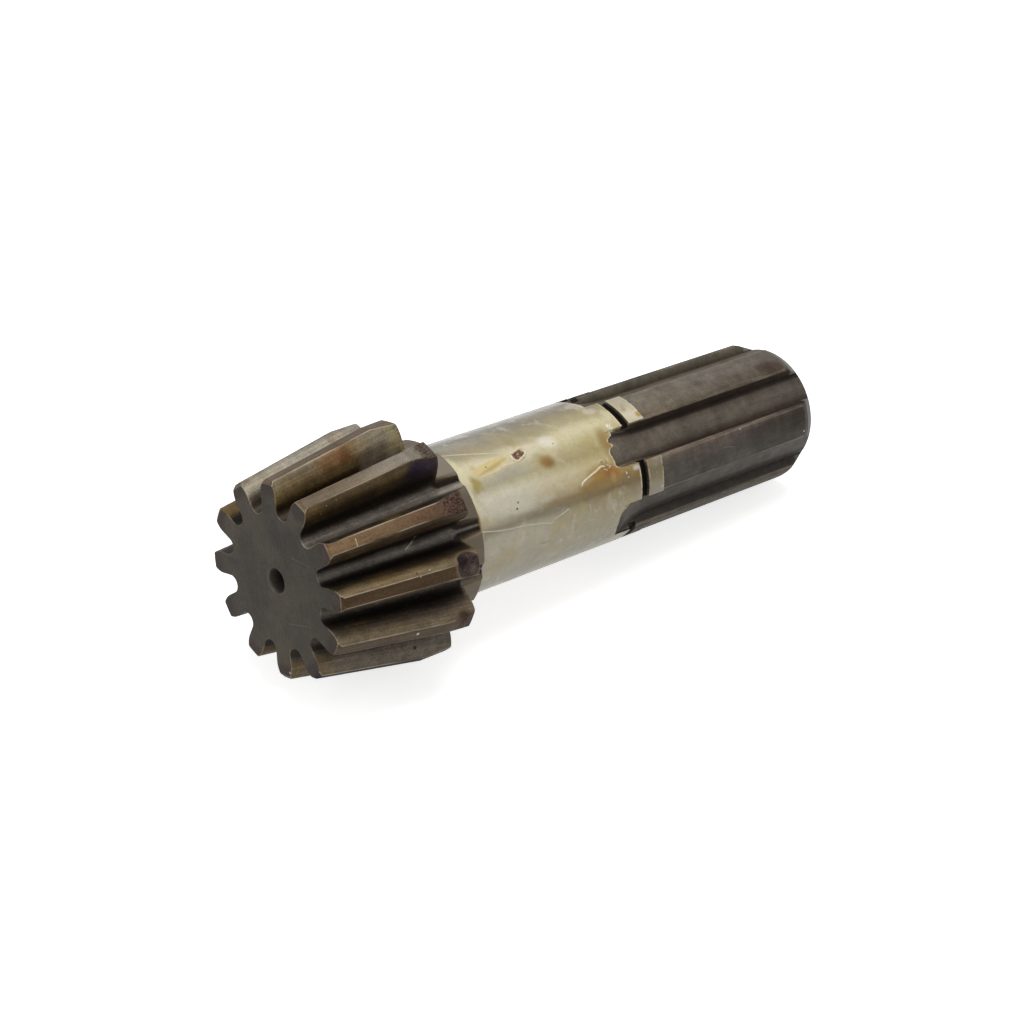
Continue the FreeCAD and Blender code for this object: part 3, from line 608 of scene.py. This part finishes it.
waxLook = {
    # wax on the lands past the groove: turn, colour; lighter round turn 109, a painted highlight
    "leftover": [
        (88, (160, 151, 130)), (102, (180, 171, 144)), (109, (206, 197, 172)), (116, (200, 190, 160)),
        (150, (138, 128, 108)), (157, (118, 103, 72)), (163, (124, 112, 82)), (169, (142, 132, 110)),
        (175, (140, 132, 114))],
    # turn, colour near the collar, colour near the spline: the coat's own tones with painted light and shade,
    # highlight bands round turns 108 and 138, darker from turn 60 to 84
    "round": [
        (20, (140, 132, 108), (140, 132, 106)), (60, (96, 90, 78), (94, 88, 73)),
        (74, (98, 90, 77), (102, 93, 76)), (84, (120, 110, 92), (123, 111, 82)),
        (90, (140, 130, 107), (143, 132, 96)), (99, (156, 147, 117), (170, 159, 121)),
        (108, (216, 205, 170), (206, 194, 154)), (118, (205, 195, 162), (182, 170, 124)),
        (128, (172, 163, 132), (163, 147, 96)), (138, (212, 205, 181), (194, 179, 133)),
        (148, (200, 192, 166), (162, 136, 76)), (155, (172, 163, 138), (128, 106, 58)),
        (160, (136, 126, 104), (112, 92, 50)), (166, (172, 166, 146), (142, 126, 92)),
        (174, (178, 171, 151), (158, 146, 116)), (188, (158, 151, 128), (150, 140, 110)),
        (210, (129, 122, 100), (124, 116, 88)), (290, (140, 132, 108), (140, 132, 106))],
    # soft marks: station, turn, length, width, lean, softness, raggedness, strength, colour
    "patches": [
        (50, 84, 20, 3.4, 4, 0.7, 0.8, 0.7, (144, 136, 118)),
        (66, 92, 9, 2.6, 24, 0.7, 0.8, 0.5, (146, 134, 96)),
        (71.2, 109.2, 4.6, 2.9, 12, 0.65, 0.3, 0.9, (226, 219, 206)),
        (65.2, 110.6, 3.6, 3.6, 0, 0.6, 0.3, 0.7, (212, 204, 182)),
        (80, 109, 16, 3.6, -4, 0.7, 0.9, 0.45, (212, 202, 166)),
        (66.0, 118, 2.4, 1.8, 0, 0.7, 0.4, 0.6, (168, 160, 118)),
        (56, 124, 14, 3.0, -6, 0.7, 0.4, 0.7, (166, 160, 144)),
        (62.4, 99, 10, 2.6, 14, 0.6, 0.5, 0.65, (160, 147, 110)),
        (62.6, 95.5, 2.6, 4.0, 20, 0.6, 0.6, 0.6, (148, 134, 94)),
        (63.8, 111.9, 1.6, 1.8, 0, 0.5, 0.3, 0.7, (216, 208, 194)),
        (55, 104, 8, 1.6, 16, 0.7, 0.4, 0.5, (166, 158, 132)),
        (76, 124, 12, 3.2, 4, 0.7, 0.8, 0.4, (170, 158, 118)),
        (54, 146, 15, 5.4, 3, 0.6, 0.5, 0.7, (200, 194, 178)),
        (62, 139, 9, 2.2, 0, 0.7, 0.6, 0.4, (198, 188, 160)),
        (67.6, 124.6, 3.8, 3.0, 10, 0.6, 0.5, 1.0, (142, 112, 58)),
        (68.2, 126.2, 2.2, 1.6, 0, 0.7, 0.5, 0.6, (130, 92, 48)),
        (86.2, 125, 3.4, 6.4, 0, 0.6, 0.6, 0.9, (150, 122, 70)),
        (85.6, 136, 2.0, 3.6, 0, 0.6, 0.8, 0.7, (160, 134, 86)),
        (82.0, 147.5, 8.5, 4.2, 8, 0.6, 0.6, 1.0, (160, 122, 54)),
        (84.0, 148.6, 4.2, 2.8, 12, 0.6, 0.5, 1.0, (150, 96, 36)),
        (79.8, 153.8, 14, 2.6, 0, 0.55, 0.5, 1.0, (142, 114, 62)),
        (73, 157.6, 18, 2.0, 4, 0.6, 0.4, 0.7, (126, 106, 66)),
        (60, 158.5, 18, 1.6, 8, 0.7, 0.3, 0.5, (122, 114, 92)),
        (84.5, 151.2, 1.5, 2.6, 0, 0.7, 0.8, 0.4, (186, 160, 110)),
        (88.6, 154.0, 2.6, 1.7, 0, 0.6, 0.9, 0.7, (126, 106, 70)),
        (90.5, 164, 2.4, 4.4, 0, 0.7, 0.9, 0.5, (128, 112, 80)),
        (82.8, 141.2, 2.6, 2.6, 0, 0.5, 1.2, 0.6, (144, 110, 64)),
        (48, 192, 10, 4, 0, 0.7, 0.8, 0.4, (148, 142, 108)),
        (62.8, 184, 3.6, 0.9, 8, 0.6, 1.0, 0.5, (128, 122, 100)),
        (76, 176, 12, 2.0, 30, 0.7, 0.9, 0.35, (160, 152, 122)),
        (52.6, 113.6, 11.6, 2.6, -10, 0.25, 0.35, 1.0, (208, 190, 134)),
        (53.5, 114.6, 8, 0.9, -12, 0.6, 0.8, 0.6, (170, 144, 84)),
        (46.4, 122.5, 3.6, 2.4, 60, 0.5, 0.6, 0.9, (160, 142, 78)),
        (45.8, 127.5, 2.0, 1.6, 80, 0.5, 0.6, 0.8, (160, 142, 84)),
        (44.5, 110, 2.6, 9, 0, 0.5, 0.5, 0.7, (222, 213, 176)),
        (43.6, 134, 1.6, 7, 0, 0.5, 0.5, 0.8, (214, 206, 172)),
        (42.9, 150.6, 1.5, 5.0, 4, 0.5, 0.5, 1.0, (112, 74, 32)),
        (45.0, 150.5, 1.6, 2.4, 0, 0.5, 0.6, 0.4, (184, 152, 100)),
        # painted highlight: white glare
        (89.6, 114.6, 1.3, 1.9, -20, 0.5, 0.4, 0.95, (230, 226, 212)),
        (91.9, 150.7, 2.0, 1.2, 0, 0.5, 0.4, 0.9, (196, 191, 188)),
        # painted highlight: lilac glare
        (88.7, 95.1, 3.4, 1.8, 0, 0.6, 0.4, 0.5, (200, 192, 190)),
        (91.4, 104, 2.2, 3.6, 0, 0.6, 0.7, 0.6, (206, 198, 166)),
        (55.3, 145.8, 0.5, 0.5, 0, 0.4, 0.0, 0.9, (62, 54, 46)),
        (54.6, 149.9, 0.55, 0.55, 0, 0.4, 0.0, 0.9, (58, 50, 42)),
        (72.2, 112.6, 0.4, 0.4, 0, 0.4, 0.0, 0.7, (110, 98, 70)),
        (51.6, 113.0, 0.5, 0.4, 0, 0.4, 0.0, 0.8, (90, 72, 38))],
    # the edge colour is a painted highlight along the coat's end
    "gold": (172, 152, 98), "milk": (208, 202, 186), "dust": (118, 108, 84), "edge": (222, 210, 176),
    "torn": ((84, 48, 30), (140, 108, 82)), "amber": (132, 108, 62), "pale": (206, 198, 178),
    "stain": (164, 132, 52),
}


def waxCoat():
    look = waxLook
    wax = Finish("wax_coat")
    fade = wax.fade
    cloud = wax.grain(70, 3, 0.55, 31.0)
    fine = wax.grain(1400, 4, 0.7, 35.0)
    wander = wax.turn + (cloud - 0.5) * 9 + (wax.grain(300, 3, 0.6, 32.0) - 0.5) * 4
    # coat colour by turn: its own tones with painted light and shade
    wax.colour = wax.mix(fade(wax.station + (cloud - 0.5) * 24, 54, 84),
                         *(wax.turnRamp(look["round"], column, wander) for column in (1, 2)))
    wax.lay(fade(wax.grain(130, 4, 0.6, 33.0), 0.52, 0.64) * 0.42, look["gold"])
    wax.lay(fade(wax.grain(220, 4, 0.6, 34.0), 0.54, 0.66) * 0.32, look["milk"])
    wax.touches(look["patches"])
    wax.stain(0.06, fade(wax.grain(420, 4, 0.65, 36.0), 0.3, 0.7))
    wax.lay(fade(fine, 0.45, 0.7) * 0.16, look["dust"])
    # torn place: brown metal shows
    torn = wax.ball((61.7, 111.9, 17.5), 3.1, 0.12, 0.25, (1.15, 0.9, 0.9))
    wax.lay(torn, wax.mix(fade(fine, 0.42, 0.62), *look["torn"]))
    # wax left on the lands past the groove
    leftover = fade(wax.station, 95.0, 95.4)
    mottle = wax.grain(420, 4, 0.65, 38.0)
    coat, wax.colour = wax.colour, wax.turnRamp(look["leftover"])
    wax.lay(fade(mottle, 0.50, 0.66) * 0.5, look["amber"])
    wax.lay(fade(mottle, 0.44, 0.32) * 0.4, look["pale"])
    wax.colour = wax.mix(leftover, coat, wax.colour)
    wax.lay(wax.spot(99.8, 111.9, 1.8, 1.6, soft=0.5, ragged=0.8) * 0.9, look["stain"])
    # painted highlight: a bright line where the coat stops, on its upper side
    rimHighlight = fade(wax.mark("edgeGap"), 0.55, 0.12) * wax.band(wax.turn, 132, 34, 16)
    rimHighlight = rimHighlight * fade(wax.grain(500, 3, 0.6, 39.0), 0.36, 0.56)
    wax.lay(rimHighlight * (0.8 - leftover * 0.4), look["edge"])
    height = wax.grain(160, 3, 0.5, 37.0) * 3 + fine * 0.2 - torn * 2.0
    wax.set(colour=wax.colour, roughness=fine * 0.15 + 0.22, normal=wax.bump(height, 0.00012),
            coat=0.14, coatRoughness=0.12, specular=0.4, tint=(0.6, 0.6, 0.57, 1))
    return wax


def waxBead():
    wax = Finish("wax_bead")
    fine = wax.grain(900, 3, 0.6, 41.0)
    wax.colour = wax.mix(fine, (226, 214, 184), (198, 184, 146))
    # painted shade: beads on the lower side, past turn 157, greyer
    wax.lay(wax.fade(wax.turn, 155, 159), (180, 174, 154))
    wax.set(colour=wax.colour, roughness=0.25, normal=wax.bump(fine, 0.00008))
    return wax


def boreSteel():
    steel = Finish("bore_steel")
    fine = steel.grain(1200, 3, 0.6, 51.0)
    steel.colour = steel.mix(fine, (64, 60, 55), (80, 75, 68))
    # painted shade deep in the bore, away from its ends
    steel.lay(steel.fade(steel.station, 2.0, 7.0) * steel.fade(steel.station, 150, 140), (14, 13, 12))
    steel.set(colour=steel.colour, metallic=0.4, roughness=0.5, normal=steel.bump(fine, 0.00006))
    return steel


finishes = {"teeth": toothSteel(), "spline": splineSteel(), "wax": waxCoat(), "bead": waxBead(),
            "bore": boreSteel()}
print("finishes made")


def lengths(path):
    return np.concatenate([[0], np.cumsum(np.hypot(*np.diff(path, axis=0).T))])


def swung(points, turns):
    # points of a section, as outwards + sideways j, swung round the axis; a radius swung makes an arc
    return points * np.exp(1j * np.asarray(turns))


def between(first, last, shares):
    shares = np.array(shares)
    return first * (1 - shares) + last * shares


def wholeRing(side, count, firstTurn=0.0):
    # half a pitch of a section, mirrored and then repeated round the shaft
    pitch = 2 * math.pi / count
    both = np.concatenate([side, swung(side[-2:0:-1].conj(), pitch)])
    return np.concatenate([swung(both, firstTurn + pitch * place) for place in range(count)])


def atStation(station, ring):
    return np.column_stack([np.full(len(ring), station), ring.real, ring.imag])


def readOff(place, rows):
    # a value from rows of places and values
    return float(np.interp(place, *zip(*rows)))


def stationsOf(part):
    return sorted({*part["between"], *(station for station, radius in part["profile"])})


def spaceSide(station):
    # half of a tooth space from the middle of its gullet outwards, as (sideways, outwards) points
    grow = (teeth["cone"] + station) / teeth["cone"]
    half = math.pi / teeth["count"]
    tip, gullet, flank = teeth["tip"] * grow, teeth["gullet"] * grow, teeth["flank"] * grow
    gulletMiddle = np.array([0, tip - teeth["depth"] * grow + gullet])
    widest = tip - teeth["widest"] * grow
    inset = (widest * math.sin(half) - teeth["spaceWidth"] / 2 * grow) / math.cos(half) - flank
    flankMiddle = np.array([widest * math.sin(half) - inset * math.cos(half),
                            widest * math.cos(half) + inset * math.sin(half)])
    gap = flankMiddle - gulletMiddle
    heading = math.atan2(gap[1], gap[0]) - math.acos((gullet + flank) / math.hypot(*gap))
    bottom = np.linspace(-math.pi / 2, heading, 24)
    side = np.linspace(heading + math.pi, math.pi / 2 + 0.1, 40)
    return np.concatenate([middle + radius * np.stack([np.cos(turns), np.sin(turns)], axis=1)
                           for middle, radius, turns in ((gulletMiddle, gullet, bottom),
                                                         (flankMiddle, flank, side))])


def cutAt(path, measure, limit):
    # the path up to where the measure reaches the limit
    last = int(np.argmax(measure > limit))
    share = (limit - measure[last - 1]) / (measure[last] - measure[last - 1])
    return np.concatenate([path[:last], [path[last - 1] + (path[last] - path[last - 1]) * share]])


def toothRing(station, inset=0.0):
    # the teeth's outline at a station, and how far up its flank each point is
    radius = readOff(station, teeth["profile"])
    side = spaceSide(station)
    side = cutAt(side, np.hypot(*side.T), radius)
    corner = side[-1]
    run = lengths(side)
    side = cutAt(side, run, run[-1] - teeth["edge"])
    run = lengths(side)
    even = np.linspace(0, run[-1], teeth["samples"])
    side = np.stack([np.interp(even, run, side[:, axis]) for axis in (0, 1)], axis=1)
    landStart = math.atan2(*corner) + teeth["edge"] / radius
    start, finish = side[-1], radius * np.array([math.sin(landStart), math.cos(landStart)])
    bend = [start * (1 - t) ** 2 + corner * 2 * t * (1 - t) + finish * t ** 2 for t in (0.33, 0.67)]
    room = math.pi / teeth["count"] - landStart
    land = swung(radius, landStart + room * np.array([0, min(0.2, 0.25 / radius / room), 0.35, 0.65, 1.0]))
    side = np.concatenate([side, bend])
    ring = wholeRing(np.concatenate([side[:, 1] + 1j * side[:, 0], land]), teeth["count"])
    if inset:
        along = np.roll(ring, -1) - np.roll(ring, 1)
        ring = ring + inset * 1j * along / abs(along)
    rise = np.concatenate([np.linspace(0, 1, teeth["samples"]), [1.03, 1.06], np.full(len(land), 1.1)])
    return atStation(station, ring), np.tile([*rise, *rise[-2:0:-1]], teeth["count"])


def splineRing(station):
    radius = readOff(station, spline["profile"])
    short = max(0.0, spline["full"] - station)
    floor, cutter, width = spline["floor"], spline["cutter"], spline["halfLand"]
    if short > cutter - 1:
        floor = radius + 1
    elif short:
        floor += cutter - math.sqrt(cutter ** 2 - short ** 2)
    halfPitch = math.pi / spline["count"]
    edgeHeight = math.sqrt((spline["landRadius"] - spline["edge"]) ** 2 - width ** 2)
    lowest = math.hypot(edgeHeight, width)

    def onLand(reach):
        # where the side of a land meets a circle: on its 45 degree edge break, or below that on its wall
        if reach <= lowest:
            return complex(math.sqrt(reach ** 2 - width ** 2), width)
        total = edgeHeight + width
        offset = (total - math.sqrt(2 * reach ** 2 - total ** 2)) / 2
        return complex(total - offset, offset)

    top = onLand(radius)
    start = math.atan2(top.imag, top.real)
    onTop = np.linspace(0, start, 7)
    if floor >= radius - 0.004:
        fan = start + np.arange(1, 7) * 0.012
        side = swung(radius, [*onTop, *fan, *np.linspace(fan[-1], halfPitch, 8)[1:]])
    else:
        foot = onLand(floor)
        if floor > lowest:
            elbow = (top + foot) / 2
        elif radius > lowest:
            elbow = complex(edgeHeight, width)
        else:
            elbow = top * 0.7 + foot * 0.3
        onFloor = np.linspace(math.atan2(foot.imag, foot.real), halfPitch, 9)[[0, *range(2, 9)]]
        side = np.concatenate([swung(radius, onTop), between(top, elbow, [0.5, 1.0]),
                               between(elbow, foot, [0.3, 0.7, 0.95]), swung(floor, onFloor)])
    return atStation(station, wholeRing(side, spline["count"], math.radians(spline["firstLand"])))


centres = {
    "toe": [(0, 3.0), (0.03, 2.95), (0.606, 2.65), (5, 2.65), (14, 2.65), (15.5, 0.1)],
    "end": [(155.3, 4.25), (155.27, 4.2), (151.4, 2.0), (148, 2.0), (146.3, 2.0), (145.1, 0.1)],
    # rings of the flat end face outside its hole
    "face": [(155.3, 14.75), (155.3, 10)],
}


def pinionShaft():
    onTeeth, onSpline, inBore = range(3)
    skin = Skin()
    broken = [(place, teeth["toeEdge"] * share) for place, share in ((0.0, 1.0), (0.05, 0.5), (0.1, 0.15))]
    outlines = [toothRing(*row) for row in broken] + [toothRing(station) for station in stationsOf(teeth)[1:]]
    rings = [skin.ring(outline, toothRise=rise) for outline, rise in outlines]
    skin.tube(rings, onTeeth)
    first, *others = stationsOf(spline)
    shoulder = skin.ring(splineRing(first))
    skin.plate(rings[-1], shoulder, onTeeth)
    hole = [skin.ring(polar(station, radius, np.arange(0, 360, 3.75))) for station, radius in centres["toe"]]
    skin.plate(rings[0], hole[0], onTeeth, backward=True)
    for near, far in zip(hole, hole[1:]):
        skin.bridge(far, near, inBore)
    skin.cap(hole[-1], inBore, backward=True)
    body = [shoulder, *(skin.ring(splineRing(station)) for station in others)]
    skin.tube(body, onSpline)
    # the end face keeps the turns of the last ring's points
    turns = np.degrees(np.arctan2(*np.array(skin.points)[body[-1]].T[:0:-1]))
    face, hole = ([skin.ring(polar(station, radius, turns)) for station, radius in centres[name]]
                  for name in ("face", "end"))
    skin.tube([body[-1], *face, hole[0]], onSpline)
    skin.tube(hole, inBore)
    skin.cap(hole[-1], inBore)
    return skin.piece("pinionShaft", [finishes[name] for name in ("teeth", "spline", "bore")], 32)


shaftPiece = pinionShaft()
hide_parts("pinion_shaft")

# Wax: a thin coat on the journal that ends ragged where the spline spaces run out

waxEnds = {
    "start": 41.75, "groove": 93.05, "film": 0.07, "rough": 0.03, "rows": 116, "turnStep": 1.25,
    # degrees from the middle of a land: where the coat leaves it, and where extra points follow that edge
    "overLand": 14.6, "nearEdge": (14.3, 14.55, 14.65),
    # ragged ends in two of the spaces: from turn, to turn, then rows of a turn and its station
    "ragged": [(117, 148, [
        (117.6, 92.9), (118.2, 89.2), (119.6, 88.9), (121.2, 88.8), (123.4, 87.0), (126.2, 86.6),
        (128.4, 87.5), (129.6, 87.7), (131.2, 86.2), (134.4, 85.6), (137.6, 85.9), (140.8, 86.1),
        (144.2, 86.0), (146.2, 86.6), (147.4, 88.6), (148.2, 92.9)]), (176, 209, [
        (176.6, 92.9), (177.6, 91.3), (178.8, 89.4), (180, 88.3), (181.6, 87.4), (184, 86.9), (187, 86.7),
        (192, 86.8), (198, 86.9), (203, 87.3), (208.6, 88.0)])],
    # the ends in the upper space, turned from 57 to 88, and in the others
    "upper": 90.2, "plain": 87.6,
}
sunk = -0.02      # an edge of the wax goes this far into the steel


def landGap(turn):
    # degrees from the middle of the nearest land
    return abs((turn - spline["firstLand"] + 30) % 60 - 30)


def waxEnd(turn):
    # where the coat stops along the shaft
    beyond = landGap(turn) - waxEnds["overLand"]
    if beyond < 0:
        return waxEnds["groove"]
    for low, high, rows in waxEnds["ragged"]:
        if low < turn < high:
            return readOff(turn, rows)
    swing = (noise.noise(Vector((turn * 0.11, 3.1, 0))) * 0.5
             + noise.noise(Vector((turn * 0.45, 7.7, 0))) * 0.2)
    return waxEnds["upper" if 57 < turn < 88 else "plain"] + swing * min(1, beyond / 2)


def underWax(station, turn):
    # radius of the steel under the coat
    short = max(0.0, spline["full"] - station)
    if short > spline["cutter"] - 1:
        return spline["journal"]
    floor = spline["floor"] + spline["cutter"] - math.sqrt(spline["cutter"] ** 2 - short ** 2)
    share = min(1.0, max(0.0, (landGap(turn) - waxEnds["overLand"]) / 0.4))
    return spline["journal"] + (min(spline["journal"], floor) - spline["journal"]) * share


def waxShell():
    skin = Skin()
    edges = [land * 60 + spline["firstLand"] + side * reach for land in range(spline["count"])
             for side in (-1, 1) for reach in waxEnds["nearEdge"]]
    turns = [*np.arange(0, 360, waxEnds["turnStep"]), *(np.array(edges) % 360), *np.arange(104, 119, 0.6)]
    turns = np.unique(np.round(turns, 3))
    shares = [0, *np.linspace(0, 1, waxEnds["rows"]), 1]
    ends = np.array([waxEnd(turn) for turn in turns])
    rings = []
    for row, share in enumerate(shares):
        stations = waxEnds["start"] + (ends - waxEnds["start"]) * share
        waves = [noise.fractal(Vector(place), 0.8, 2.0, 3) for place in polar(stations * 0.16, 2.8, turns)]
        film = waxEnds["film"] + waxEnds["rough"] * np.array(waves)
        if row in (0, len(shares) - 1):
            film = np.full(len(turns), sunk)
        under = np.array([underWax(station, turn) for station, turn in zip(stations, turns)])
        rings.append(skin.ring(polar(stations, under + film, turns), edgeGap=ends - stations))
    skin.tube([*rings, rings[0]])
    return skin.piece("waxShell", [finishes["wax"]], 60)


waxShell()

# Raised wax: hairlines, a worm, the rim of the torn place, lumps. Points (station, turn), width, height.

beads = {
    "tearRim": ([(59.9, 109.6), (61.5, 108.0), (63.1, 107.0), (64.0, 108.6), (64.1, 111.2), (63.2, 113.8),
                 (61.7, 115.6), (60.1, 117.0), (59.6, 113.2), (59.9, 109.6)], 0.6, 0.2),
    "tearGlint": ([(61.3, 111.4), (61.8, 111.8)], 0.4, 0.2),
    "tearFleck": ([(62.8, 109.6), (63.2, 110.2)], 0.35, 0.16),
    "hairlineUpper": ([(43.2, 88.2), (45.3, 90.6), (49.3, 95.6), (53.1, 100.2), (55.7, 103.4), (57.9, 105.8),
                       (59.0, 108.5), (59.7, 110.2)], 0.26, 0.07),
    "tongueEdge": ([(60.0, 116.9), (58.2, 116.9), (56.4, 116.6), (53.4, 118.7), (51.3, 119.1),
                    (48.6, 119.0)], 0.3, 0.05),
    "hairlineLower": ([(42.6, 157.2), (44.3, 157.9), (49.6, 161.5), (56.4, 164.2), (61.6, 167.3),
                       (64.0, 169.2), (65.1, 167.0), (66.2, 166.2), (68.4, 164.6),
                       (69.8, 162.8)], 0.34, 0.09),
    "worm": ([(74.4, 150.9), (74.8, 148.8), (75.5, 147.6), (77.7, 145.2), (79.8, 143.4), (81.5, 141.5),
              (82.9, 142.3)], 0.55, 0.24),
    "curlUpper": ([(81.3, 139.2), (81.5, 137.5), (82.4, 137.0), (83.0, 138.6), (82.6, 140.2)], 0.22, 0.14),
    "curlMiddle": ([(83.2, 140.4), (83.6, 142.0), (84.4, 143.4), (83.6, 144.4)], 0.24, 0.14),
    "curlLower": ([(82.0, 143.8), (82.8, 144.6), (83.2, 146.2)], 0.22, 0.12),
    "curlOuter": ([(83.6, 136.0), (84.2, 137.4), (84.0, 139.0)], 0.2, 0.12),
    "lump": ([(88.2, 151.0), (88.7, 152.4), (88.4, 153.6)], 0.36, 0.22),
    "lumpSmall": ([(89.2, 155.4), (88.7, 156.4)], 0.3, 0.18),
    "loop": ([(76.0, 165.4), (76.4, 168.0), (76.3, 173.4), (75.5, 177.2), (76.4, 178.8), (77.8, 179.4)],
             0.2, 0.04),
    "whiteBlob": ([(90.4, 111.8), (89.8, 114.2), (88.9, 117.2)], 0.7, 0.3),
}


def smoothPath(points, step=0.25):
    points = np.array(points, float)
    padded = np.concatenate([[2 * points[0] - points[1]], points, [2 * points[-1] - points[-2]]])
    path = []
    for a, b, c, d in zip(padded, padded[1:], padded[2:], padded[3:]):
        count = max(2, int(math.hypot(c[0] - b[0], (c[1] - b[1]) * 0.3) / step))
        for t in np.arange(count) / count:
            path.append(0.5 * (2 * b + (c - a) * t + (2 * a - 5 * b + 4 * c - d) * t ** 2
                               + (3 * b - a - 3 * c + d) * t ** 3))
    return np.array([*path, points[-1]])


def waxBeads():
    skin = Skin()
    section = np.radians(np.arange(0, 360, 45))
    for points, width, height in beads.values():
        path = smoothPath(points)
        flat = path * (1, degreeLength)
        along = np.gradient(flat, axis=0)
        along /= np.hypot(*along.T)[:, None]
        run = lengths(flat)
        rings = []
        for (station, around), (forth, side), reach in zip(flat, along, run):
            ends = min(1.0, math.sqrt(min(reach, run[-1] - reach) / width + 0.02))
            swell = ends * (1 + 0.25 * noise.noise(Vector((reach * 2.2, width * 40, 0))))
            offset = np.cos(section) * width / 2 * swell
            lift = np.sin(section) * height * swell + waxEnds["film"]
            rings.append(skin.ring(polar(station - side * offset, spline["journal"] + lift,
                                         (around + forth * offset) / degreeLength)))
        skin.tube(rings)
        skin.cap(rings[0])
        skin.cap(rings[-1], backward=True)
    return skin.piece("waxBeads", [finishes["bead"]], 70)


waxBeads()

# Gold wax left on the lands between the groove and the step

patchSizes = {"lands": (1, 2, 4), "start": 95.5, "end": 100.3, "half": 14.4, "film": 0.06}


def landPatches():
    skin = Skin()
    start = patchSizes["start"]
    for land in patchSizes["lands"]:
        turns = spline["firstLand"] + 60 * land + np.linspace(-1, 1, 40) * patchSizes["half"]
        ends = np.array([patchSizes["end"] + 0.35 * noise.noise(Vector((turn * 0.35, land, 0)))
                         for turn in turns])
        rows = []
        # the first and last rows, and the ends of the others, go into the steel
        for share, height in ((0, sunk),
                              *((share, patchSizes["film"]) for share in (0, 0.06, 0.3, 0.6, 0.94, 1)),
                              (1, sunk)):
            stations = start + (ends - start) * share
            film = np.full(len(turns), height)
            film[[0, -1]] = sunk
            rows.append(skin.ring(polar(stations, spline["journal"] + film, turns),
                                  edgeGap=np.minimum(stations - start, ends - stations)))
        skin.tube(rows, closed=False)
        loop = rows[0] + [row[-1] for row in rows[1:-1]] + rows[-1][::-1] + [row[0] for row in rows[-2:0:-1]]
        skin.face(loop[::-1])
    return skin.piece("landPatches", [finishes["wax"]], 60)


landPatches()

# Studio: pale floor, soft lamps, white behind

studio = {
    "floorHalf": 3.0, "floorPaint": (236, 236, 235), "floorLift": 0.72, "ambient": 0.35,
    "camera": (-0.351164, -0.348239, 0.335062), "aim": (-0.033083, -0.024827, 0.042096),
    "roll": 4.006, "lens": 89.034,
    # place, size, watts
    "lamps": {"overhead": ((0.02, 0.05, 0.75), 0.55, 3.4), "left": ((-0.75, 0.25, 0.45), 0.5, 1.4),
              "front": ((-0.2, -0.8, 0.5), 0.6, 0.8)},
}


def towardsAim(place):
    return (Vector(studio["aim"]) - Vector(place)).to_track_quat("-Z", "Y")


def floor():
    half = studio["floorHalf"]
    mesh = bpy.data.meshes.new("floor")
    mesh.from_pydata([(-half, -half, 0), (half, -half, 0), (half, half, 0), (-half, half, 0)], [],
                     [(0, 1, 2, 3)])
    pale = Finish("pale_floor")
    # its own light shows only to the camera and in gloss, so the part isn't lit by it
    lift = pale.mix(pale.rays("Camera", "Glossy"), (0, 0, 0), (255, 255, 255))
    pale.set(colour=paint(*studio["floorPaint"]), roughness=0.9, specular=0.0, glow=lift,
             glowStrength=studio["floorLift"])
    mesh.materials.append(pale.material)
    made = link("floor", mesh)


def lamp(name, place, size, watts):
    data = bpy.data.lights.new(name, "AREA")
    data.shape = "DISK"
    data.size = size
    data.energy = watts
    made = link(name, data)
    made.location = place
    made.rotation_euler = towardsAim(place).to_euler()


def camera():
    data = bpy.data.cameras.new("photoCamera")
    data.lens = studio["lens"]
    data.sensor_width = 36
    data.sensor_fit = "HORIZONTAL"
    data.clip_start = 0.01
    data.dof.use_dof = False
    made = link("photoCamera", data)
    view = towardsAim(studio["camera"]).to_matrix() @ Matrix.Rotation(math.radians(studio["roll"]), 3, "Z")
    made.matrix_world = Matrix.Translation(studio["camera"]) @ view.to_4x4()
    bpy.context.scene.camera = made


def backdrop():
    world = bpy.data.worlds.new("studio")
    bpy.context.scene.world = world
    world.use_nodes = True
    sky = Nodes(world.node_tree)
    # white where it is seen, dimmer where it lights the part
    strength = sky.rays("Camera", "Glossy", "Transmission") * (1 - studio["ambient"]) + studio["ambient"]
    sky.feed(world.node_tree.nodes["Background"], {"Strength": strength, "Color": (1, 1, 1, 1)})


floor()
for name, row in studio["lamps"].items():
    lamp(name, *row)
camera()
backdrop()
bpy.context.scene.view_settings.view_transform = "Standard"
print("studio made")
